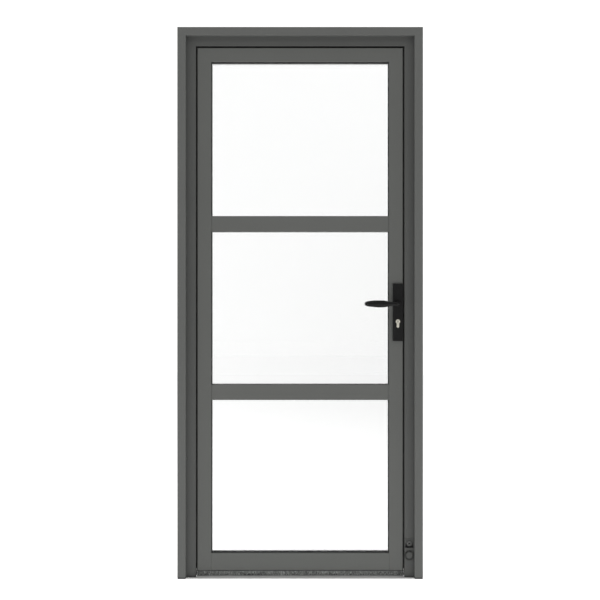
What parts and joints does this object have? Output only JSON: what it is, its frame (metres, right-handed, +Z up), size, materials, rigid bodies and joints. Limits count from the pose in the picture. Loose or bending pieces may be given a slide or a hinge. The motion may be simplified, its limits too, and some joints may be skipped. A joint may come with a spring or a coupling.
{
  "type": "glazed pvc front door",
  "caption": "Single inward-opening glazed front door in a grey PVC frame, with glazing bars, lever handles on long plates, a key cylinder, a low threshold and a brush seal.",
  "frame": {"origin": "floor level at the middle of the door's width and of the frame's depth, on the threshold's underside", "axes": "+X from the hinge side to the lock side as seen from outside, +Y from outside to inside, +Z up"},
  "size_m": [0.97, 0.183, 2.18],
  "materials": {
    "frame_plastic": "grey foiled PVC, satin",
    "leaf_plastic": "grey foiled PVC, satin",
    "bar_plastic": "grey foiled PVC, satin",
    "reinforcement": "galvanised",
    "seal_rubber": "matt black",
    "pad_plastic": "matt black",
    "glass": "clear float",
    "spacer": "matt",
    "sill_metal": "satin anodised",
    "hinge_metal": "satin grey",
    "lock_metal": "satin",
    "handle_metal": "matt black",
    "cylinder_metal": "satin nickel",
    "brush_fibre": "grey pile",
    "washer_plastic": "white",
    "fitting_metal": "satin grey"
  },
  "bodies": {
    "frame": {"jamb_hinge_side": "frame_plastic", "jamb_lock_side": "frame_plastic", "head": "frame_plastic", "frame_steel": "reinforcement", "jamb_feet": "pad_plastic", "sill": "sill_metal", "frame_seal": "seal_rubber", "lock_keep": "lock_metal", "roller_keep_lower": "lock_metal", "roller_keep_upper": "lock_metal", "hinge_frame_lower": "hinge_metal", "hinge_frame_middle": "hinge_metal", "hinge_frame_upper": "hinge_metal", "hinge_pins": "lock_metal", "hinge_washers": "washer_plastic", "foot_keeper_plate": "fitting_metal", "foot_keeper_box": "pad_plastic", "foot_keeper_eye": "fitting_metal", "foot_buffer_collar": "fitting_metal", "foot_buffer_cap": "fitting_metal"},
    "leaf": {"stile_hinge_side": "leaf_plastic", "stile_lock_side": "leaf_plastic", "top_rail": "leaf_plastic", "bottom_rail": "leaf_plastic", "leaf_steel": "reinforcement", "stile_end_caps": "pad_plastic", "leaf_seal": "seal_rubber", "brush_holder": "pad_plastic", "brush": "brush_fibre", "glass_outer_pane": "glass", "glass_inner_pane": "glass", "glass_spacer": "spacer", "gasket_outside": "seal_rubber", "gasket_inside": "seal_rubber", "setting_blocks": "pad_plastic", "glazing_beads": "leaf_plastic", "bar_outside_lower": "bar_plastic", "bar_outside_upper": "bar_plastic", "bar_inside_lower": "bar_plastic", "bar_inside_upper": "bar_plastic", "lock_faceplate": "lock_metal", "lock_case": "lock_metal", "cylinder_housing": "cylinder_metal", "cylinder_screw": "lock_metal", "plate_outside": "handle_metal", "plate_inside": "handle_metal", "collar_outside": "handle_metal", "collar_inside": "handle_metal", "handle_screws": "lock_metal", "hinge_sash_lower": "hinge_metal", "hinge_sash_middle": "hinge_metal", "hinge_sash_upper": "hinge_metal"},
    "handle": {"lever_outside": "handle_metal", "lever_inside": "handle_metal", "spindle": "lock_metal", "lock_follower": "lock_metal"},
    "latch": {"latch_bolt": "lock_metal"},
    "dead_bolt": {"dead_bolt": "lock_metal"},
    "drive_rods": {"drive_rods": "lock_metal"},
    "key_plug": {"cylinder_plug": "cylinder_metal"}
  },
  "joints": [
    {"name": "leaf_swing", "type": "hinge", "parent": "frame", "child": "leaf", "pos_m": [-0.453, 0.054, 0], "axis": [0, 0, 1], "range_deg": [0, 120]},
    {"name": "lever_turn", "type": "hinge", "parent": "leaf", "child": "handle", "pos_m": [0.3876, 0, 1.0864], "axis": [0, -1, 0], "range_deg": [0, 40], "stiffness_Nm_per_rad": 1.5, "springref_deg": -22.92},
    {"name": "latch_slide", "type": "slide", "parent": "leaf", "child": "latch", "axis": [-1, 0, 0], "range_m": [0, 0.0095]},
    {"name": "rods_slide", "type": "slide", "parent": "leaf", "child": "drive_rods", "axis": [0, 0, 1], "range_m": [0, 0.018]},
    {"name": "dead_bolt_slide", "type": "slide", "parent": "leaf", "child": "dead_bolt", "axis": [1, 0, 0], "range_m": [0, 0.0202]},
    {"name": "key_turn", "type": "hinge", "parent": "leaf", "child": "key_plug", "pos_m": [0.3876, 0, 1.0164], "axis": [0, -1, 0], "range_deg": [0, 361]}
  ],
  "couplings": [
    {"joint": "latch_slide", "follows": "lever_turn", "m_per_rad": 0.0129},
    {"joint": "dead_bolt_slide", "follows": "rods_slide", "ratio": 1.111},
    {"joint": "key_turn", "follows": "rods_slide", "rad_per_m": 349}
  ]
}
